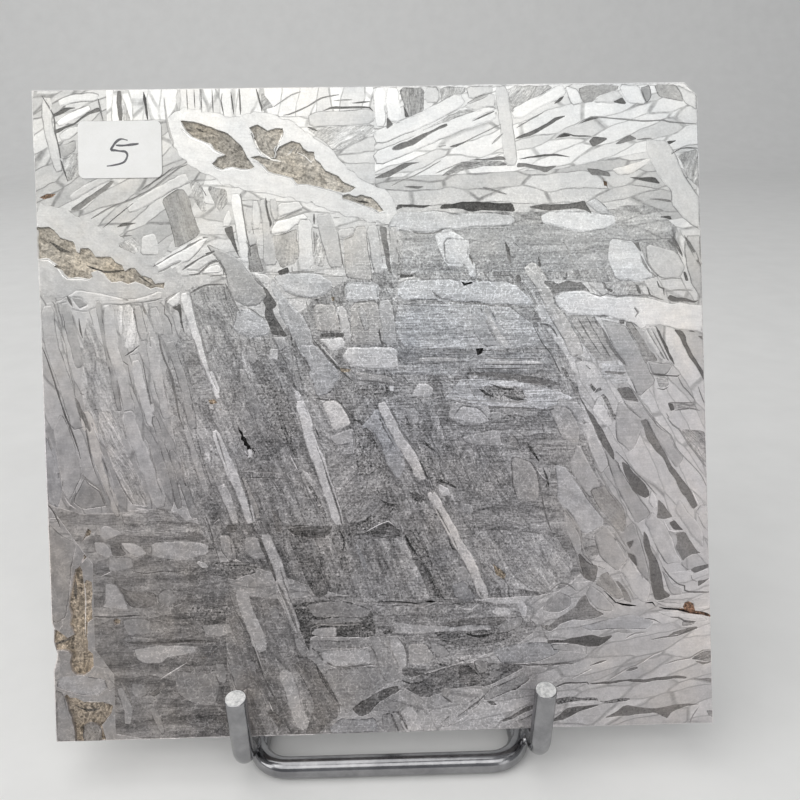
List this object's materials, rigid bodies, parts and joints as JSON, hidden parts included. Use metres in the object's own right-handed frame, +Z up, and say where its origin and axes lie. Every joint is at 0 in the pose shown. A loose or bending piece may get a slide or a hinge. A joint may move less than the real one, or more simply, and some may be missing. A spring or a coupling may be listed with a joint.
{
  "type": "etched iron meteorite slice",
  "caption": "Square etched iron meteorite slice with crossing crystal plates and rough nodules, leaning on a small chromed wire display easel.",
  "frame": {"origin": "centre of the whole object's bounding box, on the surface that the easel stands on", "axes": "+Z up, +Y from the etched front face towards the easel's rear strut, +X to the right as seen from the front"},
  "size_m": [0.1016, 0.056, 0.0999],
  "materials": {
    "etched_iron": "acid-etched nickel iron, satin, with bright crystal plates, darker fields between them and rough tan nodules",
    "label_paper": "matt white sticker paper with a pen-written number",
    "chrome_wire": "bright chromed steel wire"
  },
  "bodies": {
    "root": {"meteorite_slice": "etched_iron", "number_label": "label_paper", "easel_frame": "chrome_wire", "easel_base_ring": "chrome_wire", "easel_rear_strut": "chrome_wire"}
  },
  "joints": []
}
